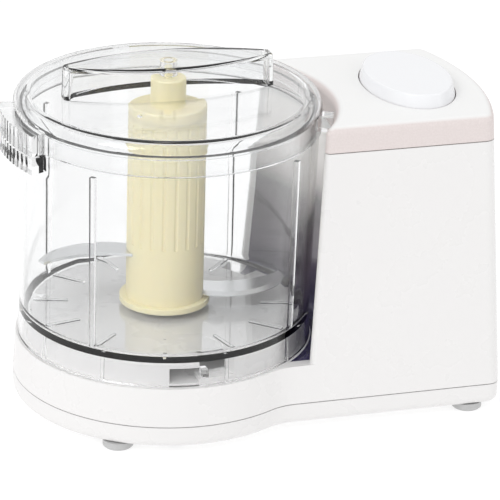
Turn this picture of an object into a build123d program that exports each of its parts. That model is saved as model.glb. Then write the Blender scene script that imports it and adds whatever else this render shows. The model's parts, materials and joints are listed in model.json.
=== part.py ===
"""Electric mini food processor: motor base with a drafted tower, clear lift-off bowl and lid,
S-blade on a cream hub, pulse button, and the belt drive that links motor and blade.

Frame: +Z up, the surface it stands on is z = 0, the origin is the centre of the footprint,
+X runs from the bowl to the motor tower and +Y to the back. Millimetres.
"""
from build123d import *

import math
import os

# ---------------------------------------------------------------- axes
BOWL_X = -34.5
MOTOR_X = 62.5
BUTTON_X = 63.5

# ---------------------------------------------------------------- base and tower
FOOT_HEIGHT = 3.0
FOOT_RADIUS = 6.0
SEAM_Z = 12.0
SEAM_GAP = 0.4
DECK_Z = 27.5
COVER_Z = 112.8
TOWER_TOP_Z = 122.6
WALL = 2.5
DRAFT = 4.0
DISC_RADIUS = 60.0
TOWER_HALF_WIDTH = 49.5
TOWER_END_X = 100.5
TOWER_END_BOW = 117.0
TOWER_ROOT_X = -14.5
CORNER_RADIUS = 5.0
WAIST_RADIUS = 22.0
BOTTOM_ROUND = 3.5
RECESS_RADIUS = 65.0
RECESS_EDGE_RADIUS = 2.0
TOP_EDGE_RADIUS = 3.0
PANEL_THICKNESS = 1.6
PANEL_INSET = 5.0
PANEL_TOP_Z = 109.0
PANEL_COVE = 6.5
LIP_INSET = 1.8
LIP_DEPTH = 3.0
BOSS_RADIUS = 4.5
CORD_X = 48.0
CORD_Z = 24.0
CORD_HOLE = 6.0

# ---------------------------------------------------------------- bowl seat
SEAT_RADIUS = 54.3
SEAT_BORE = 47.0
SEAT_TOP_Z = 36.8
SEAT_PLATE = 2.0

# ---------------------------------------------------------------- bowl
BOWL_SKIRT_Z = 28.2
BOWL_FLOOR_Z = 37.4
BOWL_FLOOR = 1.8
BOWL_FOOT_RADIUS = 57.6
BOWL_SHOULDER_RADIUS = 59.2
BOWL_SHOULDER_Z = 114.3
BOWL_RIM_RADIUS = 57.7
BOWL_RIM_Z = 122.0
BOWL_TUBE_RADIUS = 9.5
BOWL_TUBE_BORE = 6.2
BOWL_TUBE_Z = 78.0

# ---------------------------------------------------------------- lid
LID_RADIUS = 60.0
LID_SKIRT_Z = 114.7
LID_TOP_Z = 127.8
LID_WALL = 1.8
LID_ROUND = 4.5
HANDLE_TOP_Z = 140.7
HANDLE_HALF_LENGTH = 42.0
HANDLE_HALF_WIDTH = 12.5
HANDLE_END_HALF_WIDTH = 3.0
HANDLE_WALL = 2.0
GRIP_RADIUS = 66.0
GRIP_AZIMUTH = 186.0
GRIP_SPAN = 36.0
TONGUE_AZIMUTH = -21.0
TONGUE_RADIUS = 64.4

# ---------------------------------------------------------------- blade
HUB_RADIUS = 15.3
HUB_BORE = 10.3
HUB_BOTTOM_Z = 41.0
HUB_CAP_Z = 117.0
HUB_TOP_Z = 121.5
NECK_RADIUS = 6.8
NECK_TOP_Z = 133.6
BLADE_REACH = 52.0
BLADE_THICKNESS = 1.2
LOWER_BLADE_Z = 44.5
UPPER_BLADE_Z = 62.0

# ---------------------------------------------------------------- drive
SPINDLE_RADIUS = 5.0
SPINDLE_FOOT_Z = 6.5
SPINDLE_TOP_Z = 92.0
HEX_ACROSS_FLATS = 8.0
RUNNING_FIT = 0.06
BUSH_RADIUS = 8.0
PULLEY_BOTTOM_Z = 13.5
PULLEY_HEIGHT = 9.0
PULLEY_FLANGE = 0.9
DRIVE_PULLEY_RADIUS = 36.0
MOTOR_PULLEY_RADIUS = 7.5
FLANGE_RISE = 1.6
BELT_GAP = 0.3
BELT_THICKNESS = 1.2
BELT_SIDE_GAP = 0.5

# ---------------------------------------------------------------- motor
SHAFT_RADIUS = 2.5
CAN_RADIUS = 25.0
CAN_WALL = 1.5
CAN_BOTTOM_Z = 33.0
CAN_TOP_Z = 84.0
MOTOR_PLATE_Z = 27.0
MOTOR_PLATE = 2.5
POST_OFFSET_X = 24.0
POST_OFFSET_Y = 30.0
POST_RADIUS = 4.0
CORE_BOTTOM_Z = 44.0
CORE_TOP_Z = 68.0
CORE_RADIUS = 17.8
STATOR_BORE = 18.5

# ---------------------------------------------------------------- button and switches
BUTTON_HALF_X = 17.5
BUTTON_HALF_Y = 28.5
BUTTON_TOP_HALF_X = 16.3
BUTTON_TOP_HALF_Y = 26.4
BUTTON_TOP_Z = 127.6
BUTTON_GAP = 0.4
BUTTON_TRAVEL = 3.0
STEM_RADIUS = 3.6
GUIDE_BORE = 4.0
GUIDE_RADIUS = 6.6
BRACKET_Z = 96.0
BRACKET = 2.0
GUIDE_TOP_Z = 108.0
SPRING_TOP_Z = 118.0
SWITCH_Y = 17.0
SWITCH_TOP_Z = 106.0
INTERLOCK_Z = 116.6
PIN_RADIUS = 1.8

SCREW_SHANK = 1.5
SCREW_HEAD = 3.1
SCREW_HEAD_HEIGHT = 2.0

os.makedirs("parts", exist_ok=True)


# ---------------------------------------------------------------- helpers
def bowl_plane(z):
    """Horizontal plane centred on the bowl axis."""
    return Plane((BOWL_X, 0, z))


def motor_plane(z):
    """Horizontal plane centred on the motor axis."""
    return Plane((MOTOR_X, 0, z))


def button_plane(z):
    """Horizontal plane centred on the pulse button."""
    return Plane((BUTTON_X, 0, z))


def disc(plane, radius, height, mode=Mode.ADD):
    """Cylinder standing on a plane."""
    with BuildSketch(plane) as section:
        Circle(radius)
    extrude(section.sketch, amount=height, mode=mode)


def ring(plane, outer, inner, height, mode=Mode.ADD):
    """Plain tube standing on a plane."""
    with BuildSketch(plane) as section:
        Circle(outer)
        Circle(inner, mode=Mode.SUBTRACT)
    extrude(section.sketch, amount=height, mode=mode)


def oval(plane, half_x, half_y, height, mode=Mode.ADD):
    """Elliptical prism standing on a plane."""
    with BuildSketch(plane) as section:
        Ellipse(half_x, half_y)
    extrude(section.sketch, amount=height, mode=mode)


def finish(builder, name):
    """Label a finished piece and write it out."""
    builder.part.label = name
    export_step(builder.part, f"parts/{name}.step")


def tower_plan(inset, z):
    """Plan of the tower, drawn in by an inset: straight sides and a bowed end."""
    half = TOWER_HALF_WIDTH - inset
    apex = TOWER_END_X - inset
    bow = TOWER_END_BOW - inset
    corner = apex - bow + math.sqrt(bow ** 2 - half ** 2)
    with BuildSketch(Plane.XY.offset(z)) as plan:
        with BuildLine():
            Polyline((corner, half), (TOWER_ROOT_X, half), (TOWER_ROOT_X, -half), (corner, -half))
            ThreePointArc((corner, -half), (apex, 0), (corner, half))
        make_face()
    return plan.sketch


def footprint_plan(inset, z, corner_radius=0.0):
    """Plan of the base: bowl disc and tower joined by hollow waist curves."""
    half = TOWER_HALF_WIDTH - inset
    waist_x = BOWL_X + math.sqrt((DISC_RADIUS - inset) ** 2 - half ** 2)
    with BuildSketch(Plane.XY.offset(z)) as plan:
        add(tower_plan(inset, 0))
        with Locations((BOWL_X, 0)):
            Circle(DISC_RADIUS - inset)
        for side in (-1, 1):
            fillet(plan.vertices().sort_by_distance((waist_x, side * half, z))[0], WAIST_RADIUS + inset)
        if corner_radius > 0:
            for side in (-1, 1):
                corner = (TOWER_END_X, side * TOWER_HALF_WIDTH, z)
                fillet(plan.vertices().sort_by_distance(corner)[0], corner_radius)
    return plan.sketch


def side_at(z):
    """Half width of the drafted tower at a height."""
    return TOWER_HALF_WIDTH - (z - SEAM_Z) * math.tan(math.radians(DRAFT))


def tower_slice(inset, low, high):
    """The drafted tower, drawn in by an inset all round and behind the bowl recess."""
    with BuildPart() as body:
        extrude(tower_plan(inset, SEAM_Z), amount=TOWER_TOP_Z - SEAM_Z, taper=DRAFT)
        disc(bowl_plane(SEAM_Z), RECESS_RADIUS + inset, TOWER_TOP_Z, mode=Mode.SUBTRACT)
        with BuildSketch(Plane.XY.offset(low)):
            Rectangle(3 * TOWER_END_X, 3 * TOWER_HALF_WIDTH)
        extrude(amount=high - low, mode=Mode.INTERSECT)
    return body.part


def bolt(x, y, head_z, length, head_up):
    """Pan-head screw with a straight driver slot; the head is on top when head_up is true."""
    way = 1 if head_up else -1
    disc(Plane((x, y, head_z), z_dir=(0, 0, way)), SCREW_HEAD, SCREW_HEAD_HEIGHT)
    disc(Plane((x, y, head_z), z_dir=(0, 0, -way)), SCREW_SHANK, length)
    with BuildSketch(Plane((x, y, head_z + way * SCREW_HEAD_HEIGHT), z_dir=(0, 0, -way))) as slot:
        Rectangle(2 * SCREW_HEAD + 1, 0.8)
    extrude(slot.sketch, amount=0.8, mode=Mode.SUBTRACT)


def polar(radius, azimuth):
    """Point at a radius and an azimuth about the bowl axis."""
    angle = math.radians(azimuth)
    return BOWL_X + radius * math.cos(angle), radius * math.sin(angle)


def sector(z_low, z_high, inner, outer, azimuth, span, mode=Mode.ADD):
    """Block that follows a circle about the bowl axis, centred on an azimuth."""
    angle = math.radians(azimuth - span / 2)
    start = Plane((BOWL_X, 0, 0), x_dir=(math.cos(angle), math.sin(angle), 0),
                  z_dir=(math.sin(angle), -math.cos(angle), 0))
    with BuildSketch(start) as section:
        with Locations(((inner + outer) / 2, (z_low + z_high) / 2)):
            Rectangle(outer - inner, z_high - z_low)
    revolve(section.sketch, axis=Axis((BOWL_X, 0, 0), (0, 0, 1)), revolution_arc=span, mode=mode)


def interlock_plane(radius):
    """Upright plane square to the interlock pin, facing away from the bowl."""
    angle = math.radians(TONGUE_AZIMUTH)
    x, y = polar(radius, TONGUE_AZIMUTH)
    return Plane((x, y, INTERLOCK_Z), x_dir=(-math.sin(angle), math.cos(angle), 0),
                 z_dir=(math.cos(angle), math.sin(angle), 0))


def serrate(z_low, z_high):
    """Finger grooves down the outside of a grip tab."""
    grooves = 13
    with BuildSketch(bowl_plane(z_low)) as teeth:
        with PolarLocations(GRIP_RADIUS + 0.5, grooves, GRIP_AZIMUTH - GRIP_SPAN / 2, GRIP_SPAN):
            Circle(1.0)
    extrude(teeth.sketch, amount=z_high - z_low, mode=Mode.SUBTRACT)


def lens_plan(inset, z):
    """Eye-shaped plan of the lid handle."""
    length = HANDLE_HALF_LENGTH - inset
    width = HANDLE_HALF_WIDTH - inset
    end = HANDLE_END_HALF_WIDTH
    with BuildSketch(bowl_plane(z)) as plan:
        with BuildLine():
            ThreePointArc((-length, -end), (0, -width), (length, -end))
            Line((length, -end), (length, end))
            ThreePointArc((length, end), (0, width), (-length, end))
            Line((-length, end), (-length, -end))
        make_face()
        fillet(plan.vertices(), 2.0)
    return plan.sketch


def blade_plate(z, azimuth):
    """Scimitar blade: bowed cutting edge, rounded tip, root held inside the hub."""
    angle = math.radians(azimuth)
    plane = Plane((BOWL_X, 0, z), x_dir=(math.cos(angle), math.sin(angle), 0), z_dir=(0, 0, 1))
    with BuildPart() as plate:
        with BuildSketch(plane):
            with BuildLine():
                ThreePointArc((11, -7), (34, -12), (BLADE_REACH - 1, 2))
                Line((BLADE_REACH - 1, 2), (BLADE_REACH - 2.5, 6))
                ThreePointArc((BLADE_REACH - 2.5, 6), (32, 0.5), (11, 7))
                Line((11, 7), (11, -7))
            make_face()
        extrude(amount=BLADE_THICKNESS)
        upper = plate.faces().sort_by(Axis.Z)[-1]
        cutting_edge = upper.edges().sort_by(SortBy.LENGTH)[-1]
        chamfer(cutting_edge, 0.8, 2.4)
    return plate


bowl_section = Plane((BOWL_X, 0, 0), x_dir=(1, 0, 0), z_dir=(0, -1, 0))
bowl_axis = Axis((BOWL_X, 0, 0), (0, 0, 1))
COVER_SCREW_SPOTS = [polar(50, azimuth) for azimuth in (100, 180, 260)] + [(82, 41.5), (82, -41.5)]
POST_SPOTS = [(MOTOR_X + x * POST_OFFSET_X, y * POST_OFFSET_Y) for x in (-1, 1) for y in (-1, 1)]
LUG_AZIMUTHS = [-88.9 + 120 * turn for turn in range(3)]

# ================================================================ base unit
with BuildPart() as outer_form:
    extrude(tower_plan(0, SEAM_Z), amount=TOWER_TOP_Z - SEAM_Z, taper=DRAFT)
    extrude(footprint_plan(0, SEAM_Z), amount=DECK_Z - SEAM_Z, taper=DRAFT)
    disc(bowl_plane(DECK_Z), RECESS_RADIUS, TOWER_TOP_Z, mode=Mode.SUBTRACT)
    mid_z = (SEAM_Z + TOWER_TOP_Z) / 2
    lip_x = BOWL_X + math.sqrt(RECESS_RADIUS ** 2 - side_at(mid_z) ** 2)
    for side in (-1, 1):
        spot = (TOWER_END_X, side * side_at(mid_z), mid_z)
        fillet(outer_form.edges().sort_by_distance(spot)[0], CORNER_RADIUS)
        spot = (lip_x, side * side_at(mid_z), mid_z)
        fillet(outer_form.edges().sort_by_distance(spot)[0], RECESS_EDGE_RADIUS)
    fillet(outer_form.faces().sort_by(Axis.Z)[-1].edges(), TOP_EDGE_RADIUS)

with BuildPart() as recess_panel:
    with BuildSketch(bowl_section):
        with BuildLine():
            Polyline((RECESS_RADIUS, DECK_Z + PANEL_COVE), (RECESS_RADIUS, PANEL_TOP_Z),
                     (RECESS_RADIUS + PANEL_THICKNESS, PANEL_TOP_Z),
                     (RECESS_RADIUS + PANEL_THICKNESS, DECK_Z), (RECESS_RADIUS - PANEL_COVE, DECK_Z))
            ThreePointArc((RECESS_RADIUS - PANEL_COVE, DECK_Z),
                          (RECESS_RADIUS - PANEL_COVE * (1 - math.sqrt(0.5)),
                           DECK_Z + PANEL_COVE * (1 - math.sqrt(0.5))),
                          (RECESS_RADIUS, DECK_Z + PANEL_COVE))
        make_face()
    revolve(axis=bowl_axis)
    extrude(tower_plan(PANEL_INSET, SEAM_Z), amount=TOWER_TOP_Z - SEAM_Z, taper=DRAFT,
            mode=Mode.INTERSECT)
finish(recess_panel, "recess_panel")

with BuildPart() as housing:
    add(outer_form.part)
    split(bisect_by=Plane.XY.offset(COVER_Z - SEAM_GAP), keep=Keep.BOTTOM)
    extrude(footprint_plan(WALL, SEAM_Z), amount=DECK_Z - WALL - SEAM_Z, taper=DRAFT, mode=Mode.SUBTRACT)
    add(tower_slice(WALL, SEAM_Z, COVER_Z), mode=Mode.SUBTRACT)
    add(recess_panel.part, mode=Mode.SUBTRACT)
    for x, y in COVER_SCREW_SPOTS[:3]:
        disc(Plane((x, y, SEAM_Z)), BOSS_RADIUS, DECK_Z - WALL - SEAM_Z)
    for x, y in COVER_SCREW_SPOTS[3:]:
        disc(Plane((x, y, SEAM_Z)), BOSS_RADIUS, DECK_Z - SEAM_Z)
    for x, y in COVER_SCREW_SPOTS:
        disc(Plane((x, y, SEAM_Z)), SCREW_SHANK, 11, mode=Mode.SUBTRACT)
    disc(bowl_plane(DECK_Z - WALL), BUSH_RADIUS + 3, WALL, mode=Mode.SUBTRACT)
    disc(Plane((CORD_X, TOWER_HALF_WIDTH - 10, CORD_Z), z_dir=(0, 1, 0)), CORD_HOLE, 20, mode=Mode.SUBTRACT)
finish(housing, "housing")

with BuildPart() as top_cover:
    add(outer_form.part)
    split(bisect_by=Plane.XY.offset(COVER_Z), keep=Keep.TOP)
    add(tower_slice(WALL, COVER_Z, TOWER_TOP_Z - WALL), mode=Mode.SUBTRACT)
    add(tower_slice(WALL, COVER_Z - LIP_DEPTH, COVER_Z + 1))
    add(tower_slice(WALL + LIP_INSET, COVER_Z - LIP_DEPTH, COVER_Z + 1), mode=Mode.SUBTRACT)
    oval(button_plane(COVER_Z), BUTTON_HALF_X + BUTTON_GAP, BUTTON_HALF_Y + BUTTON_GAP, 2 * WALL + 10,
         mode=Mode.SUBTRACT)
    disc(interlock_plane(RECESS_RADIUS - 5), PIN_RADIUS + 0.4, 12, mode=Mode.SUBTRACT)
finish(top_cover, "top_cover")

with BuildPart() as bottom_cover:
    extrude(footprint_plan(0, FOOT_HEIGHT, CORNER_RADIUS), amount=SEAM_Z - SEAM_GAP - FOOT_HEIGHT)
    fillet(bottom_cover.faces().sort_by(Axis.Z)[0].edges(), BOTTOM_ROUND)
    extrude(footprint_plan(WALL + 0.3, SEAM_Z - 2), amount=4)
    extrude(footprint_plan(WALL + LIP_INSET, FOOT_HEIGHT + WALL), amount=SEAM_Z, mode=Mode.SUBTRACT)
    for x, y in POST_SPOTS:
        disc(Plane((x, y, FOOT_HEIGHT + WALL)), POST_RADIUS, MOTOR_PLATE_Z - FOOT_HEIGHT - WALL)
        disc(Plane((x, y, MOTOR_PLATE_Z - 10)), SCREW_SHANK, 10, mode=Mode.SUBTRACT)
    for x, y in COVER_SCREW_SPOTS:
        disc(Plane((x, y, FOOT_HEIGHT + WALL)), BOSS_RADIUS, SEAM_Z - FOOT_HEIGHT - WALL)
        disc(Plane((x, y, FOOT_HEIGHT)), SCREW_SHANK, SEAM_Z, mode=Mode.SUBTRACT)
        disc(Plane((x, y, FOOT_HEIGHT)), SCREW_HEAD, 3, mode=Mode.SUBTRACT)
        disc(Plane((x, y, SEAM_Z)), BOSS_RADIUS + 0.3, 3, mode=Mode.SUBTRACT)
    ring(bowl_plane(FOOT_HEIGHT + WALL), BUSH_RADIUS + 3, BUSH_RADIUS, SPINDLE_FOOT_Z)
    with BuildSketch(motor_plane(FOOT_HEIGHT)):
        with GridLocations(26, 7, 2, 5):
            SlotOverall(22, 2.4)
    extrude(amount=WALL, mode=Mode.SUBTRACT)
finish(bottom_cover, "bottom_cover")

FEET = {"foot_front_left": (BOWL_X - 30, -44.5), "foot_back_left": (BOWL_X - 30, 44.5),
        "foot_front_right": (79.7, -42.5), "foot_back_right": (79.7, 42.5)}
for name, (x, y) in FEET.items():
    with BuildPart() as foot:
        disc(Plane((x, y, 0)), FOOT_RADIUS, FOOT_HEIGHT)
        chamfer(foot.faces().sort_by(Axis.Z)[0].edges(), 0.6)
    finish(foot, name)

with BuildPart() as bowl_seat:
    disc(bowl_plane(DECK_Z), SEAT_RADIUS, SEAT_TOP_Z - DECK_Z)
    chamfer(bowl_seat.faces().sort_by(Axis.Z)[-1].edges(), 1.0)
    disc(bowl_plane(DECK_Z), SEAT_BORE, SEAT_TOP_Z - SEAT_PLATE - DECK_Z, mode=Mode.SUBTRACT)
    disc(bowl_plane(DECK_Z - WALL - 0.5), BUSH_RADIUS + 3, SEAT_TOP_Z - DECK_Z + WALL + 0.5)
    disc(bowl_plane(DECK_Z - WALL - 0.5), BUSH_RADIUS, SEAT_TOP_Z, mode=Mode.SUBTRACT)
    for azimuth in LUG_AZIMUTHS:
        sector(DECK_Z + 2.2, SEAT_TOP_Z + 1, SEAT_BORE - 1, SEAT_RADIUS + 1, azimuth + 5.4, 15,
               mode=Mode.SUBTRACT)
        sector(DECK_Z + 0.6, SEAT_TOP_Z - 2.4, SEAT_BORE - 1, SEAT_RADIUS + 1, azimuth - 8.1, 12.1,
               mode=Mode.SUBTRACT)
finish(bowl_seat, "bowl_seat")

with BuildPart() as cover_screws:
    for x, y in COVER_SCREW_SPOTS:
        bolt(x, y, FOOT_HEIGHT + 3, 14, head_up=False)
finish(cover_screws, "cover_screws")

with BuildPart() as cord_inlet:
    inlet_y = side_at(CORD_Z)
    back = Plane((CORD_X, inlet_y - 5.2, CORD_Z), z_dir=(0, 1, 0))
    disc(back, CORD_HOLE, 7.5)
    disc(back, CORD_HOLE + 2, 2)
    disc(back.offset(6.0), CORD_HOLE + 2, 1.5)
    disc(back, 3.4, 10, mode=Mode.SUBTRACT)
finish(cord_inlet, "cord_inlet")

# ================================================================ drive under the bowl
with BuildPart() as spindle_bush_lower:
    ring(bowl_plane(SPINDLE_FOOT_Z - 1), BUSH_RADIUS, SPINDLE_RADIUS + RUNNING_FIT, 6.5)
finish(spindle_bush_lower, "spindle_bush_lower")

with BuildPart() as spindle_bush_upper:
    ring(bowl_plane(DECK_Z - WALL - 0.5), BUSH_RADIUS, SPINDLE_RADIUS + RUNNING_FIT, 9.5)
finish(spindle_bush_upper, "spindle_bush_upper")

with BuildPart() as spindle_seal:
    ring(bowl_plane(DECK_Z + 6.6), BUSH_RADIUS, SPINDLE_RADIUS + 0.3, 2.6)
finish(spindle_seal, "spindle_seal")

with BuildPart() as drive_spindle:
    disc(bowl_plane(SPINDLE_FOOT_Z), SPINDLE_RADIUS, BOWL_TUBE_Z - SPINDLE_FOOT_Z)
    with BuildSketch(bowl_plane(BOWL_TUBE_Z)):
        RegularPolygon(HEX_ACROSS_FLATS / 2, 6, major_radius=False)
    extrude(amount=SPINDLE_TOP_Z - BOWL_TUBE_Z)
    chamfer(drive_spindle.faces().sort_by(Axis.Z)[-1].edges(), 0.8)
finish(drive_spindle, "drive_spindle")


def pulley(plane, radius, bore):
    """Flat-belt pulley with a thin flange at each end."""
    disc(plane, radius, PULLEY_HEIGHT)
    disc(plane, radius + FLANGE_RISE, PULLEY_FLANGE)
    disc(plane.offset(PULLEY_HEIGHT - PULLEY_FLANGE), radius + FLANGE_RISE, PULLEY_FLANGE)
    disc(plane, bore, PULLEY_HEIGHT, mode=Mode.SUBTRACT)


with BuildPart() as drive_pulley:
    pulley(bowl_plane(PULLEY_BOTTOM_Z), DRIVE_PULLEY_RADIUS, SPINDLE_RADIUS)
    for level in (PULLEY_BOTTOM_Z, PULLEY_BOTTOM_Z + PULLEY_HEIGHT - 3.5):
        ring(bowl_plane(level), DRIVE_PULLEY_RADIUS - 3, 10, 3.5, mode=Mode.SUBTRACT)
finish(drive_pulley, "drive_pulley")

with BuildPart() as thrust_washer:
    ring(bowl_plane(SPINDLE_FOOT_Z + 5.8), BUSH_RADIUS + 1, SPINDLE_RADIUS, 1.2)
finish(thrust_washer, "thrust_washer")


def belt_prism(grow, z, height):
    """Prism of the belt's path round both pulleys, at a distance outside them."""
    with BuildPart() as prism:
        with BuildSketch(Plane.XY.offset(z)):
            with Locations((BOWL_X, 0)):
                Circle(DRIVE_PULLEY_RADIUS + grow)
            with Locations((MOTOR_X, 0)):
                Circle(MOTOR_PULLEY_RADIUS + grow)
            make_hull()
        extrude(amount=height)
    return prism.part


with BuildPart() as drive_belt:
    belt_z = PULLEY_BOTTOM_Z + PULLEY_FLANGE + BELT_SIDE_GAP
    belt_height = PULLEY_HEIGHT - 2 * (PULLEY_FLANGE + BELT_SIDE_GAP)
    add(belt_prism(BELT_GAP + BELT_THICKNESS, belt_z, belt_height))
    add(belt_prism(BELT_GAP, belt_z, belt_height), mode=Mode.SUBTRACT)
finish(drive_belt, "drive_belt")

# ================================================================ motor
with BuildPart() as motor_pulley:
    pulley(motor_plane(PULLEY_BOTTOM_Z), MOTOR_PULLEY_RADIUS, SHAFT_RADIUS)
finish(motor_pulley, "motor_pulley")

with BuildPart() as motor_shaft:
    disc(motor_plane(PULLEY_BOTTOM_Z - 0.5), SHAFT_RADIUS, 76.5)
finish(motor_shaft, "motor_shaft")

with BuildPart() as motor_plate:
    with BuildSketch(motor_plane(MOTOR_PLATE_Z)):
        RectangleRounded(56, 72, 4)
        Circle(9, mode=Mode.SUBTRACT)
        with GridLocations(2 * POST_OFFSET_X, 2 * POST_OFFSET_Y, 2, 2):
            Circle(SCREW_SHANK, mode=Mode.SUBTRACT)
        with GridLocations(32, 0, 2, 1):
            Circle(SCREW_SHANK, mode=Mode.SUBTRACT)
    extrude(amount=MOTOR_PLATE)
finish(motor_plate, "motor_plate")

with BuildPart() as motor_plate_screws:
    for x, y in POST_SPOTS:
        bolt(x, y, MOTOR_PLATE_Z + MOTOR_PLATE, 10, head_up=True)
finish(motor_plate_screws, "motor_plate_screws")

with BuildPart() as motor_screws:
    for x in (MOTOR_X - 16, MOTOR_X + 16):
        bolt(x, 0, MOTOR_PLATE_Z, MOTOR_PLATE + 3, head_up=False)
finish(motor_screws, "motor_screws")

with BuildPart() as motor_lower_bell:
    bell_z = MOTOR_PLATE_Z + MOTOR_PLATE
    disc(motor_plane(bell_z), CAN_RADIUS, CAN_BOTTOM_Z - bell_z)
    disc(motor_plane(bell_z), 4.5, CAN_BOTTOM_Z - bell_z, mode=Mode.SUBTRACT)
    with BuildSketch(motor_plane(bell_z)):
        with GridLocations(32, 0, 2, 1):
            Circle(SCREW_SHANK)
    extrude(amount=CAN_BOTTOM_Z - bell_z, mode=Mode.SUBTRACT)
finish(motor_lower_bell, "motor_lower_bell")

with BuildPart() as motor_upper_bell:
    disc(motor_plane(CAN_TOP_Z), CAN_RADIUS, 3)
    disc(motor_plane(CAN_TOP_Z), BUSH_RADIUS, 7)
    disc(motor_plane(CAN_TOP_Z), 4.5, 7, mode=Mode.SUBTRACT)
    with BuildSketch(motor_plane(CAN_TOP_Z)):
        with PolarLocations(16, 6):
            Circle(3.5)
    extrude(amount=3, mode=Mode.SUBTRACT)
finish(motor_upper_bell, "motor_upper_bell")

for name, level in (("motor_bush_lower", MOTOR_PLATE_Z + MOTOR_PLATE), ("motor_bush_upper", CAN_TOP_Z)):
    with BuildPart() as bush:
        ring(motor_plane(level), 4.5, SHAFT_RADIUS + RUNNING_FIT, 4.5)
    finish(bush, name)

with BuildPart() as motor_can:
    ring(motor_plane(CAN_BOTTOM_Z), CAN_RADIUS, CAN_RADIUS - CAN_WALL, CAN_TOP_Z - CAN_BOTTOM_Z)
finish(motor_can, "motor_can")

with BuildPart() as stator_core:
    ring(motor_plane(CORE_BOTTOM_Z), CAN_RADIUS - CAN_WALL, STATOR_BORE, CORE_TOP_Z - CORE_BOTTOM_Z)
finish(stator_core, "stator_core")

with BuildPart() as field_coils:
    for level in (CORE_BOTTOM_Z - 4, CORE_TOP_Z):
        ring(motor_plane(level), CAN_RADIUS - CAN_WALL - 0.5, STATOR_BORE + 0.3, 4)
finish(field_coils, "field_coils")

with BuildPart() as armature_core:
    disc(motor_plane(CORE_BOTTOM_Z), CORE_RADIUS, CORE_TOP_Z - CORE_BOTTOM_Z)
    with BuildSketch(motor_plane(CORE_BOTTOM_Z)):
        with PolarLocations(CORE_RADIUS - 1.5, 12):
            Rectangle(4, 2)
        Circle(SHAFT_RADIUS)
    extrude(amount=CORE_TOP_Z - CORE_BOTTOM_Z, mode=Mode.SUBTRACT)
finish(armature_core, "armature_core")

with BuildPart() as armature_windings:
    for level in (CORE_BOTTOM_Z - 3.5, CORE_TOP_Z):
        ring(motor_plane(level), CORE_RADIUS - 2, SHAFT_RADIUS + 3.5, 3.5)
    outer_rims = armature_windings.edges().filter_by(GeomType.CIRCLE).group_by(SortBy.RADIUS)[-1]
    fillet(outer_rims, 1.2)
finish(armature_windings, "armature_windings")

with BuildPart() as commutator:
    ring(motor_plane(CORE_TOP_Z + 6), 7, SHAFT_RADIUS, 8)
    with BuildSketch(motor_plane(CORE_TOP_Z + 6)):
        with PolarLocations(7, 12):
            Rectangle(1.4, 0.5)
    extrude(amount=8, mode=Mode.SUBTRACT)
finish(commutator, "commutator")

with BuildPart() as cooling_fan:
    fan_z = CAN_BOTTOM_Z + 2
    disc(motor_plane(fan_z), 21, 1.2)
    disc(motor_plane(fan_z), 6, 4.2)
    with BuildSketch(motor_plane(fan_z)):
        with PolarLocations(13, 9):
            Rectangle(15, 1.2)
    extrude(amount=4.2)
    disc(motor_plane(fan_z), SHAFT_RADIUS, 4.2, mode=Mode.SUBTRACT)
finish(cooling_fan, "cooling_fan")

for name, side in (("front", -1), ("back", 1)):
    with BuildPart() as brush_holder:
        with BuildSketch(Plane((MOTOR_X, side * 14.5, CORE_TOP_Z + 6))):
            Rectangle(9, 12)
        extrude(amount=CAN_TOP_Z - CORE_TOP_Z - 6)
        with BuildSketch(Plane((MOTOR_X, side * 14, CORE_TOP_Z + 7.5))):
            Rectangle(5, 20)
        extrude(amount=5, mode=Mode.SUBTRACT)
    finish(brush_holder, f"brush_holder_{name}")
    with BuildPart() as carbon_brush:
        with BuildSketch(Plane((MOTOR_X, side * 12.3, CORE_TOP_Z + 7.5))):
            Rectangle(5, 9.9)
        extrude(amount=5)
    finish(carbon_brush, f"carbon_brush_{name}")

with BuildPart() as terminal_block:
    with BuildSketch(Plane((50, 37.5, 34))):
        Rectangle(20, 13)
    extrude(amount=10)
    with BuildSketch(Plane((50, 36.5, 44))):
        with GridLocations(6, 0, 3, 1):
            Circle(1.8)
    extrude(amount=-4, mode=Mode.SUBTRACT)
finish(terminal_block, "terminal_block")

with BuildPart() as suppression_capacitor:
    disc(Plane((MOTOR_X - 13, -35.5, 50), z_dir=(1, 0, 0)), 7, 26)
    fillet(suppression_capacitor.edges().filter_by(GeomType.CIRCLE), 1.0)
finish(suppression_capacitor, "suppression_capacitor")

# ================================================================ pulse button and switches
with BuildPart() as switch_bracket:
    add(tower_slice(WALL, BRACKET_Z, BRACKET_Z + BRACKET))
    disc(button_plane(BRACKET_Z), GUIDE_RADIUS, GUIDE_TOP_Z - BRACKET_Z)
    disc(button_plane(BRACKET_Z + BRACKET), GUIDE_BORE, GUIDE_TOP_Z - BRACKET_Z, mode=Mode.SUBTRACT)
    with BuildSketch(button_plane(BRACKET_Z)):
        with Locations((0, -26)):
            SlotOverall(24, 8)
    extrude(amount=BRACKET, mode=Mode.SUBTRACT)
finish(switch_bracket, "switch_bracket")

with BuildPart() as pulse_switch:
    with BuildSketch(Plane((BUTTON_X, SWITCH_Y, BRACKET_Z + BRACKET))):
        Rectangle(10, 16)
    extrude(amount=SWITCH_TOP_Z - BRACKET_Z - BRACKET)
    disc(Plane((BUTTON_X, SWITCH_Y, SWITCH_TOP_Z - 7)), 1.9, 7, mode=Mode.SUBTRACT)
finish(pulse_switch, "pulse_switch")

with BuildPart() as switch_plunger:
    disc(Plane((BUTTON_X, SWITCH_Y, SWITCH_TOP_Z - 3.4)), 1.5, 6.9)
finish(switch_plunger, "switch_plunger")

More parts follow.
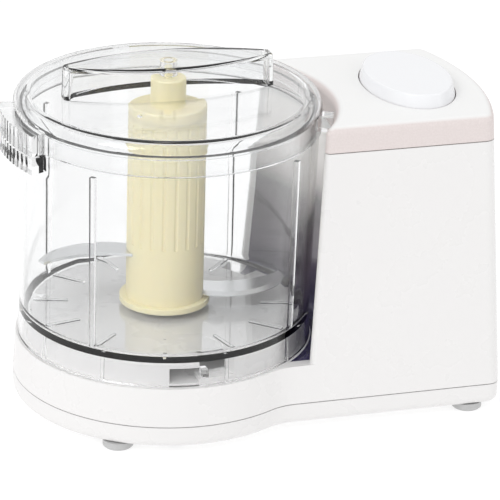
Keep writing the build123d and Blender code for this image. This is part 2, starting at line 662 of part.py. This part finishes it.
with BuildPart() as button:
    flange_z = TOWER_TOP_Z - WALL - 2.3
    oval(button_plane(flange_z), BUTTON_HALF_X, BUTTON_HALF_Y, TOWER_TOP_Z - flange_z)
    oval(button_plane(flange_z), BUTTON_HALF_X + 2, BUTTON_HALF_Y + 2, 1.8)
    with BuildSketch(button_plane(TOWER_TOP_Z)):
        Ellipse(BUTTON_HALF_X, BUTTON_HALF_Y)
    with BuildSketch(button_plane(BUTTON_TOP_Z)):
        Ellipse(BUTTON_TOP_HALF_X, BUTTON_TOP_HALF_Y)
    loft()
    fillet(button.faces().sort_by(Axis.Z)[-1].edges(), 0.9)
    oval(button_plane(flange_z), BUTTON_TOP_HALF_X - 2, BUTTON_TOP_HALF_Y - 2, BUTTON_TOP_Z - 2 - flange_z,
         mode=Mode.SUBTRACT)
    disc(button_plane(SPRING_TOP_Z), GUIDE_RADIUS, BUTTON_TOP_Z - 1 - SPRING_TOP_Z)
    disc(button_plane(BRACKET_Z + 6), STEM_RADIUS, BUTTON_TOP_Z - 1 - BRACKET_Z - 6)
    disc(Plane((BUTTON_X, SWITCH_Y, SWITCH_TOP_Z + 3.5)), 2.5, BUTTON_TOP_Z - 1 - SWITCH_TOP_Z - 3.5)
finish(button, "button")

with BuildPart() as button_spring:
    with BuildLine(button_plane(GUIDE_TOP_Z + 0.5)) as coil:
        Helix(pitch=2.25, height=9.0, radius=5.3)
    with BuildSketch(Plane(coil.line @ 0, z_dir=coil.line % 0)):
        Circle(0.45)
    sweep()
finish(button_spring, "button_spring")

with BuildPart() as interlock_switch:
    with BuildSketch(interlock_plane(RECESS_RADIUS + 6)):
        Rectangle(10, 2 * (TOWER_TOP_Z - WALL - INTERLOCK_Z))
    extrude(amount=14)
    disc(interlock_plane(RECESS_RADIUS + 6), PIN_RADIUS + 0.4, 13, mode=Mode.SUBTRACT)
finish(interlock_switch, "interlock_switch")

with BuildPart() as interlock_pin:
    disc(interlock_plane(RECESS_RADIUS - 0.1), PIN_RADIUS, 16)
    fillet(interlock_pin.edges().filter_by(GeomType.CIRCLE).sort_by(Axis.X)[0], 1.2)
finish(interlock_pin, "interlock_pin")

# ================================================================ bowl
with BuildPart() as bowl:
    floor_top = BOWL_FLOOR_Z + BOWL_FLOOR
    skirt_wall = 2.0
    with BuildSketch(bowl_section):
        with BuildLine():
            Polyline((BOWL_FOOT_RADIUS + 0.6, BOWL_SKIRT_Z), (BOWL_FOOT_RADIUS, BOWL_FLOOR_Z + 0.6),
                     (BOWL_SHOULDER_RADIUS, BOWL_SHOULDER_Z), (BOWL_RIM_RADIUS, BOWL_SHOULDER_Z),
                     (BOWL_RIM_RADIUS, BOWL_RIM_Z), (BOWL_RIM_RADIUS - 1.7, BOWL_RIM_Z),
                     (BOWL_FOOT_RADIUS - 2.2, floor_top + 3))
            ThreePointArc((BOWL_FOOT_RADIUS - 2.2, floor_top + 3),
                          (BOWL_FOOT_RADIUS - 2.2 - 3 * (1 - math.sqrt(0.5)), floor_top + 3 * (1 - math.sqrt(0.5))),
                          (BOWL_FOOT_RADIUS - 5.2, floor_top))
            Polyline((BOWL_FOOT_RADIUS - 5.2, floor_top), (BOWL_TUBE_RADIUS, floor_top),
                     (BOWL_TUBE_RADIUS, BOWL_TUBE_Z), (BOWL_TUBE_BORE, BOWL_TUBE_Z),
                     (BOWL_TUBE_BORE, BOWL_FLOOR_Z), (BOWL_FOOT_RADIUS - skirt_wall, BOWL_FLOOR_Z),
                     (BOWL_FOOT_RADIUS + 0.6 - skirt_wall, BOWL_SKIRT_Z), (BOWL_FOOT_RADIUS + 0.6, BOWL_SKIRT_Z))
        make_face()
    revolve(axis=bowl_axis)
    for azimuth in (45, 135, 225, 315):
        sector(floor_top - 0.5, BOWL_SHOULDER_Z - 4, BOWL_FOOT_RADIUS - 3.4, BOWL_FOOT_RADIUS - 1, azimuth, 2.2)
    for spoke in range(12):
        sector(floor_top - 0.5, floor_top + 0.7, 38, 52, 15 + 30 * spoke, 1.6)
    for azimuth in (-160, -130, -80, -48):
        sector(BOWL_SKIRT_Z, BOWL_FLOOR_Z + 0.5, BOWL_FOOT_RADIUS - 2.2, BOWL_FOOT_RADIUS - 1, azimuth, 1.4)
    for azimuth in LUG_AZIMUTHS:
        sector(DECK_Z + 3.2, DECK_Z + 6.2, 51.5, BOWL_FOOT_RADIUS - 1, azimuth, 2.6)
    sector(BOWL_SHOULDER_Z - 6.5, BOWL_SHOULDER_Z, BOWL_SHOULDER_RADIUS - 1, GRIP_RADIUS, GRIP_AZIMUTH, GRIP_SPAN)
    serrate(BOWL_SHOULDER_Z - 6.5, BOWL_SHOULDER_Z)
finish(bowl, "bowl")

# ================================================================ lid
with BuildPart() as lid:
    plate_z = LID_TOP_Z - LID_WALL
    inner_radius = LID_RADIUS - LID_WALL
    inner_round = LID_ROUND - LID_WALL
    diagonal = 1 - math.sqrt(0.5)
    with BuildSketch(bowl_section):
        with BuildLine():
            Line((LID_RADIUS, LID_SKIRT_Z), (LID_RADIUS, LID_TOP_Z - LID_ROUND))
            ThreePointArc((LID_RADIUS, LID_TOP_Z - LID_ROUND),
                          (LID_RADIUS - LID_ROUND * diagonal, LID_TOP_Z - LID_ROUND * diagonal),
                          (LID_RADIUS - LID_ROUND, LID_TOP_Z))
            Polyline((LID_RADIUS - LID_ROUND, LID_TOP_Z), (0, LID_TOP_Z), (0, plate_z),
                     (inner_radius - inner_round, plate_z))
            ThreePointArc((inner_radius - inner_round, plate_z),
                          (inner_radius - inner_round * diagonal, plate_z - inner_round * diagonal),
                          (inner_radius, plate_z - inner_round))
            Polyline((inner_radius, plate_z - inner_round), (inner_radius, LID_SKIRT_Z),
                     (LID_RADIUS, LID_SKIRT_Z))
        make_face()
    revolve(axis=bowl_axis)
    ring(bowl_plane(plate_z - 6), 54.9, 53.4, 6.5)
    extrude(lens_plan(0, plate_z), amount=HANDLE_TOP_Z - plate_z, taper=2)
    fillet(lid.faces().sort_by(Axis.Z)[-1].edges(), 1.2)
    extrude(lens_plan(HANDLE_WALL, plate_z), amount=HANDLE_TOP_Z - HANDLE_WALL - plate_z, taper=2,
            mode=Mode.SUBTRACT)
    ring(bowl_plane(HANDLE_TOP_Z - 6.2), 3.4, 1.9, 5)
    sector(LID_SKIRT_Z + 0.3, LID_TOP_Z - LID_ROUND, LID_RADIUS - 1, GRIP_RADIUS, GRIP_AZIMUTH, GRIP_SPAN)
    serrate(LID_SKIRT_Z + 0.3, LID_TOP_Z - LID_ROUND)
    sector(LID_SKIRT_Z + 0.3, LID_TOP_Z - 6.8, LID_RADIUS - 1, TONGUE_RADIUS, TONGUE_AZIMUTH, 6.5)
    disc(Plane((BOWL_X - 18, -25, plate_z - 1)), 0.9, 5, mode=Mode.SUBTRACT)
finish(lid, "lid")

# ================================================================ blade assembly
blade_lower = blade_plate(LOWER_BLADE_Z, 0)
finish(blade_lower, "blade_lower")
blade_upper = blade_plate(UPPER_BLADE_Z, 180)
finish(blade_upper, "blade_upper")

with BuildPart() as drive_socket:
    disc(bowl_plane(BOWL_TUBE_Z + 1.2), HUB_BORE - 0.5, SPINDLE_TOP_Z - BOWL_TUBE_Z)
    with BuildSketch(bowl_plane(BOWL_TUBE_Z + 1.2)):
        RegularPolygon(HEX_ACROSS_FLATS / 2 + 0.4, 6, major_radius=False)
    extrude(amount=SPINDLE_TOP_Z - BOWL_TUBE_Z, mode=Mode.SUBTRACT)
finish(drive_socket, "drive_socket")

with BuildPart() as blade_hub:
    disc(bowl_plane(HUB_BOTTOM_Z), HUB_RADIUS, HUB_CAP_Z - HUB_BOTTOM_Z)
    disc(bowl_plane(HUB_BOTTOM_Z), HUB_RADIUS + 2.5, 2.2)
    with BuildSketch(bowl_plane(HUB_BOTTOM_Z + 26)):
        with PolarLocations(HUB_RADIUS + 0.85, 20):
            Circle(1.2)
    extrude(amount=HUB_CAP_Z - HUB_BOTTOM_Z - 28, mode=Mode.SUBTRACT)
    disc(bowl_plane(HUB_BOTTOM_Z), HUB_BORE, BOWL_TUBE_Z + 1.2 - HUB_BOTTOM_Z, mode=Mode.SUBTRACT)
    disc(bowl_plane(BOWL_TUBE_Z), HUB_BORE - 0.5, SPINDLE_TOP_Z + 1.2 - BOWL_TUBE_Z, mode=Mode.SUBTRACT)
    disc(bowl_plane(SPINDLE_TOP_Z + 3), HUB_RADIUS - 2.8, HUB_CAP_Z, mode=Mode.SUBTRACT)
    add(blade_lower.part, mode=Mode.SUBTRACT)
    add(blade_upper.part, mode=Mode.SUBTRACT)
finish(blade_hub, "blade_hub")

with BuildPart() as hub_cap:
    disc(bowl_plane(HUB_CAP_Z), HUB_RADIUS, HUB_TOP_Z - HUB_CAP_Z)
    fillet(hub_cap.faces().sort_by(Axis.Z)[-1].edges(), 0.8)
    disc(bowl_plane(HUB_CAP_Z - 4), HUB_RADIUS - 2.8, 5)
    disc(bowl_plane(HUB_TOP_Z), NECK_RADIUS, NECK_TOP_Z - HUB_TOP_Z)
    neck_foot = hub_cap.edges().filter_by(GeomType.CIRCLE).sort_by_distance((BOWL_X + NECK_RADIUS, 0, HUB_TOP_Z))[0]
    fillet(neck_foot, 1.5)
    fillet(hub_cap.faces().sort_by(Axis.Z)[-1].edges(), 0.7)
    disc(bowl_plane(NECK_TOP_Z), 1.5, 3)
    disc(bowl_plane(HUB_CAP_Z - 4), NECK_RADIUS - 2.2, NECK_TOP_Z - HUB_CAP_Z + 1.5, mode=Mode.SUBTRACT)
finish(hub_cap, "hub_cap")
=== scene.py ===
"""Mini food processor: materials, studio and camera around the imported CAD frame.
Metres; +X from the bowl to the tower, +Y to the back, +Z up."""
import json
import math

import bpy
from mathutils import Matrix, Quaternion, Vector


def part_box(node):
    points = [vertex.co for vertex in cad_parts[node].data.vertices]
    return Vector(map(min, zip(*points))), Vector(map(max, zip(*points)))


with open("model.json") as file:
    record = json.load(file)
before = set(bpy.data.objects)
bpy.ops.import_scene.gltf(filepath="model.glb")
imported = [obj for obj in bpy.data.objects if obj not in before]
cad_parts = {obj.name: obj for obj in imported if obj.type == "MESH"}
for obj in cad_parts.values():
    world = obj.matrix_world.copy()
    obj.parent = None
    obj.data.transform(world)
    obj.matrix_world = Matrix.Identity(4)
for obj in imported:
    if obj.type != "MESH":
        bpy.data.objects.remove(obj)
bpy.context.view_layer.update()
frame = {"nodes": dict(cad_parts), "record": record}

NODES = frame["nodes"]

# ------------------------------------------------------------------ camera
CAMERA_AZIMUTH = -17.312
CAMERA_ELEVATION = 22.682
CAMERA_ROLL = 1.681
CAMERA_DISTANCE = 1.3
CAMERA_TARGET = Vector((0.000564, 0.0, 0.057418))
LENS = 235.2
SENSOR = 36.0
CLIP_START = 0.05


def add_camera():
    """Long-lens camera, a little left of the front and from above."""
    azimuth = math.radians(CAMERA_AZIMUTH)
    elevation = math.radians(CAMERA_ELEVATION)
    back = Vector((math.sin(azimuth) * math.cos(elevation),
                   -math.cos(azimuth) * math.cos(elevation), math.sin(elevation)))
    data = bpy.data.cameras.new("camera")
    data.lens = LENS
    data.sensor_width = SENSOR
    data.clip_start = CLIP_START
    camera = bpy.data.objects.new("camera", data)
    camera.rotation_mode = "QUATERNION"
    roll = Quaternion((0, 0, 1), math.radians(CAMERA_ROLL))
    camera.rotation_quaternion = back.to_track_quat("Z", "Y") @ roll
    camera.location = CAMERA_TARGET + CAMERA_DISTANCE * back
    bpy.context.scene.collection.objects.link(camera)
    bpy.context.scene.camera = camera


# ------------------------------------------------------------------ studio
SKY_HORIZON = (0.56, 0.56, 0.57, 1)
SKY_TOP = (0.88, 0.88, 0.88, 1)
SKY_STEPS = ((0.05, 0.58), (0.10, 0.82), (0.30, 0.88))
FLOOR_RADIUS = 3.0
FLOOR_WHITE = (0.35, 0.35, 0.35, 1)
FLOOR_ROUGHNESS = 0.9
FLOOR_GLOW = 0.70
LIGHT_BOUNCES = 24
CLEAR_BOUNCES = 20


def add_world():
    """White dome that darkens towards the horizon, so that clear edges read."""
    world = bpy.data.worlds.new("studio")
    world.use_nodes = True
    tree = world.node_tree
    background = tree.nodes["Background"]
    coords = tree.nodes.new("ShaderNodeTexCoord")
    split = tree.nodes.new("ShaderNodeSeparateXYZ")
    ramp = tree.nodes.new("ShaderNodeValToRGB")
    elements = ramp.color_ramp.elements
    elements[0].position = 0.0
    elements[0].color = SKY_HORIZON
    elements[1].position = 1.0
    elements[1].color = SKY_TOP
    for position, level in SKY_STEPS:
        element = elements.new(position)
        element.color = (level, level, level, 1)
    tree.links.new(coords.outputs["Generated"], split.inputs[0])
    tree.links.new(split.outputs["Z"], ramp.inputs[0])
    tree.links.new(ramp.outputs[0], background.inputs["Color"])
    background.inputs["Strength"].default_value = 1.0
    bpy.context.scene.world = world


def add_light(name, place, size, power, target=(0, 0, 0.06)):
    """Rectangular soft box aimed at a point."""
    data = bpy.data.lights.new(name, "AREA")
    data.shape = "RECTANGLE"
    data.size, data.size_y = size
    data.energy = power
    light = bpy.data.objects.new(name, data)
    light.location = place
    light.rotation_mode = "QUATERNION"
    light.rotation_quaternion = (Vector(place) - Vector(target)).to_track_quat("Z", "Y")
    bpy.context.scene.collection.objects.link(light)


def add_floor():
    """Pale floor that glows a little, so that shadows on it stay faint."""
    bpy.ops.mesh.primitive_circle_add(vertices=96, radius=FLOOR_RADIUS, fill_type="NGON")
    floor = bpy.context.object
    floor.name = "floor"
    material = bpy.data.materials.new("floor_paper")
    material.use_nodes = True
    shader = material.node_tree.nodes["Principled BSDF"]
    shader.inputs["Base Color"].default_value = FLOOR_WHITE
    shader.inputs["Roughness"].default_value = FLOOR_ROUGHNESS
    shader.inputs["Emission Color"].default_value = (1, 1, 1, 1)
    shader.inputs["Emission Strength"].default_value = FLOOR_GLOW
    floor.data.materials.append(material)


# ------------------------------------------------------------------ material tools
class Shader:
    """A Principled material with short helpers for its node tree."""

    def __init__(self, name, color, roughness, **sockets):
        self.material = bpy.data.materials.new(name)
        self.material.use_nodes = True
        self.tree = self.material.node_tree
        self.principled = self.tree.nodes["Principled BSDF"]
        self.principled.inputs["Base Color"].default_value = (*color, 1)
        self.principled.inputs["Roughness"].default_value = roughness
        for socket, value in sockets.items():
            self.principled.inputs[socket.replace("_", " ")].default_value = value
        self.coords = self.tree.nodes.new("ShaderNodeTexCoord").outputs["Object"]

    def node(self, kind, **values):
        made = self.tree.nodes.new(kind)
        for name, value in values.items():
            if name in made.inputs:
                made.inputs[name].default_value = value
            else:
                setattr(made, name, value)
        return made

    def link(self, source, target):
        self.tree.links.new(source, target)

    def noise(self, scale, detail=3.0, stretch=(1, 1, 1)):
        mapping = self.node("ShaderNodeMapping")
        mapping.inputs["Scale"].default_value = stretch
        self.link(self.coords, mapping.inputs["Vector"])
        noise = self.node("ShaderNodeTexNoise", Scale=scale, Detail=detail)
        self.link(mapping.outputs[0], noise.inputs["Vector"])
        return noise.outputs["Fac"]

    def ramp(self, source, stops, target):
        ramp = self.node("ShaderNodeValToRGB")
        elements = ramp.color_ramp.elements
        elements[0].position, elements[0].color = stops[0][0], (*stops[0][1], 1)
        elements[1].position, elements[1].color = stops[-1][0], (*stops[-1][1], 1)
        for position, color in stops[1:-1]:
            element = elements.new(position)
            element.color = (*color, 1)
        self.link(source, ramp.inputs[0])
        if target is not None:
            self.link(ramp.outputs[0], target)
        return ramp.outputs[0]

    def vary_color(self, color, spread, scale, stretch=(1, 1, 1)):
        low = tuple(channel * (1 - spread) for channel in color)
        high = tuple(min(1.0, channel * (1 + spread)) for channel in color)
        return self.ramp(self.noise(scale, 4.0, stretch), [(0.15, low), (0.85, high)],
                         self.principled.inputs["Base Color"])

    def vary_roughness(self, low, high, scale, stretch=(1, 1, 1)):
        self.ramp(self.noise(scale, 5.0, stretch), [(0.3, (low,) * 3), (0.7, (high,) * 3)],
                  self.principled.inputs["Roughness"])

    def let_light_through(self, tint):
        """Lets lamplight through the clear wall to what lies behind it, tinted a little."""
        path = self.node("ShaderNodeLightPath")
        passing = self.node("ShaderNodeBsdfTransparent")
        passing.inputs["Color"].default_value = (*tint, 1)
        mix = self.node("ShaderNodeMixShader")
        self.link(path.outputs["Is Shadow Ray"], mix.inputs[0])
        self.link(self.principled.outputs[0], mix.inputs[1])
        self.link(passing.outputs[0], mix.inputs[2])
        self.link(mix.outputs[0], self.tree.nodes["Material Output"].inputs["Surface"])

    def bump(self, source, strength, distance):
        bump = self.node("ShaderNodeBump", Strength=strength, Distance=distance)
        self.link(source, bump.inputs["Height"])
        previous = self.principled.inputs["Normal"].links
        if previous:
            self.link(previous[0].from_socket, bump.inputs["Normal"])
        self.link(bump.outputs[0], self.principled.inputs["Normal"])


def white_plastic(name, color, roughness, grain):
    """Gloss ABS: faint flow mottling, slight orange peel, a fine mould grain."""
    shader = Shader(name, color, roughness, IOR=1.52)
    shader.vary_color(color, 0.007, 40)
    shader.vary_roughness(roughness * 0.85, roughness * 1.2, 60)
    shader.bump(shader.noise(90, 2.0), 0.05, 0.0004)
    shader.bump(shader.noise(2600, 2.0), grain, 0.00004)
    return shader


def cover_plastic():
    """The top cover: gloss on top, a rougher band round the sides in a warmer tone; the top is
    painted lighter as light and the band painted darker as shade, chosen by which way the surface
    faces.
    """
    shader = white_plastic("cover_white", (0.93, 0.93, 0.92), 0.30, 0.10)
    normal = shader.node("ShaderNodeNewGeometry").outputs["Normal"]
    split = shader.node("ShaderNodeSeparateXYZ")
    shader.link(normal, split.inputs[0])
    # painted light and shade: upward faces take the pale lit colour, side faces the darker shaded
    # band
    upward_lit_mask = shader.ramp(split.outputs["Z"], [(0.70, (0, 0, 0)), (0.98, (1, 1, 1))], None)
    shaded_band = [(0.3, (0.70, 0.63, 0.615)), (0.7, (0.745, 0.675, 0.66))]
    shaded_speckle = shader.ramp(shader.noise(1400, 3.0), shaded_band, None)
    mix = shader.node("ShaderNodeMix", data_type="RGBA")
    shader.link(upward_lit_mask, mix.inputs[0])
    shader.link(shaded_speckle, mix.inputs[6])
    mottling = [(0.2, (0.855, 0.855, 0.85)), (0.8, (0.87, 0.87, 0.865))]
    lit_top = shader.ramp(shader.noise(28, 4.0), mottling, None)
    shader.link(lit_top, mix.inputs[7])
    shader.link(mix.outputs[2], shader.principled.inputs["Base Color"])
    rough = shader.ramp(upward_lit_mask, [(0.0, (0.55,) * 3), (1.0, (0.28,) * 3)], None)
    shader.link(rough, shader.principled.inputs["Roughness"])
    return shader


def recess_painted_shade_panel():
    """Gloss panel standing in for the shade in the recess, coloured with painted shade: pale at its
    top, deepening to a painted slate-blue shadow at the deck.
    """
    shader = Shader("recess_slate_painted_shade", (0.3, 0.3, 0.35), 0.14, IOR=1.5)
    low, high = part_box("recess_panel")
    split = shader.node("ShaderNodeSeparateXYZ")
    shader.link(shader.coords, split.inputs[0])
    height = shader.node("ShaderNodeMapRange")
    shader.link(split.outputs["Z"], height.inputs["Value"])
    height.inputs["From Min"].default_value = low[2]
    height.inputs["From Max"].default_value = high[2]
    # painted shade: the colour darkens with height from the panel's top down to the deck
    shader.ramp(height.outputs[0], [
        (0.00, (0.030, 0.024, 0.075)), (0.25, (0.115, 0.092, 0.125)), (0.46, (0.115, 0.096, 0.110)),
        (0.57, (0.19, 0.18, 0.185)), (0.66, (0.58, 0.55, 0.545)), (0.78, (0.85, 0.82, 0.805)),
        (1.00, (0.90, 0.88, 0.86))], shader.principled.inputs["Base Color"])
    shader.vary_roughness(0.10, 0.18, 40, (1, 1, 0.2))
    shader.bump(shader.noise(70, 2.0, (1, 1, 0.3)), 0.08, 0.0005)
    return shader


def clear_plastic():
    """Polished clear SAN with faint moulding waves and hairline use marks."""
    shader = Shader("clear_san", (0.965, 0.968, 0.97), 0.015, IOR=1.49)
    shader.principled.inputs["Transmission Weight"].default_value = 1.0
    shader.bump(shader.noise(34, 2.0), 0.05, 0.0006)
    shader.let_light_through((0.93, 0.935, 0.94))
    wear = [(0.0, (0.012,) * 3), (0.62, (0.015,) * 3), (0.78, (0.05,) * 3)]
    scratches = shader.ramp(shader.noise(220, 2.0, (1, 1, 14)), wear, None)
    shader.link(scratches, shader.principled.inputs["Roughness"])
    return shader


def cream_plastic():
    """Natural polypropylene: creamy, a little translucent, softly streaked along its height."""
    shader = Shader("cream_pp", (0.88, 0.81, 0.56), 0.36, IOR=1.49)
    shader.principled.inputs["Subsurface Weight"].default_value = 0.35
    shader.principled.inputs["Subsurface Radius"].default_value = (0.006, 0.005, 0.003)
    shader.principled.inputs["Subsurface Scale"].default_value = 1.0
    shader.vary_color((0.84, 0.76, 0.50), 0.05, 60, (1, 1, 0.12))
    shader.vary_roughness(0.30, 0.44, 90)
    shader.bump(shader.noise(900, 2.0), 0.10, 0.00005)
    return shader


def brushed_metal(name, color, roughness, scale, stretch):
    """Metal with fine directional grinding lines."""
    shader = Shader(name, color, roughness, Metallic=1.0)
    shader.vary_color(color, 0.06, scale, stretch)
    shader.vary_roughness(roughness * 0.75, roughness * 1.35, scale, stretch)
    shader.bump(shader.noise(scale * 2, 3.0, stretch), 0.12, 0.00003)
    return shader


def dull_solid(name, color, roughness, scale=400, grain=0.25):
    """Rubber, nylon, carbon and varnished parts: grained and slightly uneven."""
    shader = Shader(name, color, roughness)
    shader.vary_color(color, 0.10, scale * 0.2)
    shader.vary_roughness(roughness * 0.9, min(1.0, roughness * 1.15), scale * 0.5)
    shader.bump(shader.noise(scale, 3.0), grain, 0.00008)
    return shader


def wound_copper():
    """Enamelled copper: fine turns across the winding."""
    shader = Shader("enamelled_copper", (0.62, 0.25, 0.10), 0.32, Metallic=1.0)
    shader.vary_color((0.62, 0.25, 0.10), 0.15, 120)
    wave = shader.node("ShaderNodeTexWave", Scale=900.0, Distortion=2.0)
    wave.bands_direction = "Z"
    shader.link(shader.coords, wave.inputs["Vector"])
    shader.bump(wave.outputs["Fac"], 0.5, 0.0002)
    return shader


def make_materials():
    """One finish for each material slot of the record."""
    return {
        "white_gloss": white_plastic("abs_white", (0.80, 0.79, 0.785), 0.28, 0.08),
        # cover top painted lighter and its sides painted darker by facing direction
        "white_satin": cover_plastic(),
        "button_white": white_plastic("button_white", (0.86, 0.865, 0.885), 0.22, 0.04),
        # the recess panel carries painted shade, darkening towards the deck
        "recess_grey": recess_painted_shade_panel(),
        "clear_plastic": clear_plastic(),
        "cream_plastic": cream_plastic(),
        "blade_steel": brushed_metal("blade_steel", (0.72, 0.73, 0.74), 0.20, 500, (1, 9, 1)),
        "foot_rubber": dull_solid("foot_rubber", (0.50, 0.50, 0.50), 0.6),
        "black_rubber": dull_solid("black_rubber", (0.03, 0.03, 0.03), 0.7),
        "zinc_steel": brushed_metal("zinc_steel", (0.60, 0.62, 0.64), 0.30, 200, (1, 1, 3)),
        "cast_zinc": dull_solid("cast_zinc", (0.45, 0.46, 0.47), 0.5, 300, 0.5),
        "shaft_steel": brushed_metal("shaft_steel", (0.55, 0.56, 0.58), 0.18, 300, (1, 1, 12)),
        "lamination": brushed_metal("lamination", (0.14, 0.14, 0.15), 0.45, 900, (0.2, 0.2, 6)),
        "copper_wire": wound_copper(),
        "sinter_bronze": dull_solid("sinter_bronze", (0.40, 0.26, 0.12), 0.45, 1200, 0.5),
        "black_plastic": dull_solid("black_nylon", (0.035, 0.035, 0.038), 0.45),
        "carbon": dull_solid("carbon", (0.03, 0.03, 0.032), 0.55, 1500, 0.4),
        "grey_plastic": dull_solid("grey_nylon", (0.30, 0.31, 0.33), 0.42),
        "switch_red": dull_solid("red_acetal", (0.45, 0.04, 0.03), 0.35),
    }


def dress_frame(materials):
    """Gives every CAD node the finish of its slot."""
    for entry in frame["record"]["subparts"]:
        node = NODES[entry["node"]]
        material = materials[entry["material_slot"]].material
        if not node.material_slots:
            node.data.materials.append(material)
        for slot in node.material_slots:
            slot.material = material


add_camera()
add_world()
add_floor()
add_light("key", (-1.3, -0.9, 1.4), (0.9, 0.9), 12.0)
add_light("fill", (1.3, -0.6, 0.9), (0.5, 1.0), 2.2)
dress_frame(make_materials())
bpy.context.scene.view_settings.view_transform = "Standard"
bpy.context.scene.cycles.max_bounces = LIGHT_BOUNCES
bpy.context.scene.cycles.transmission_bounces = CLEAR_BOUNCES
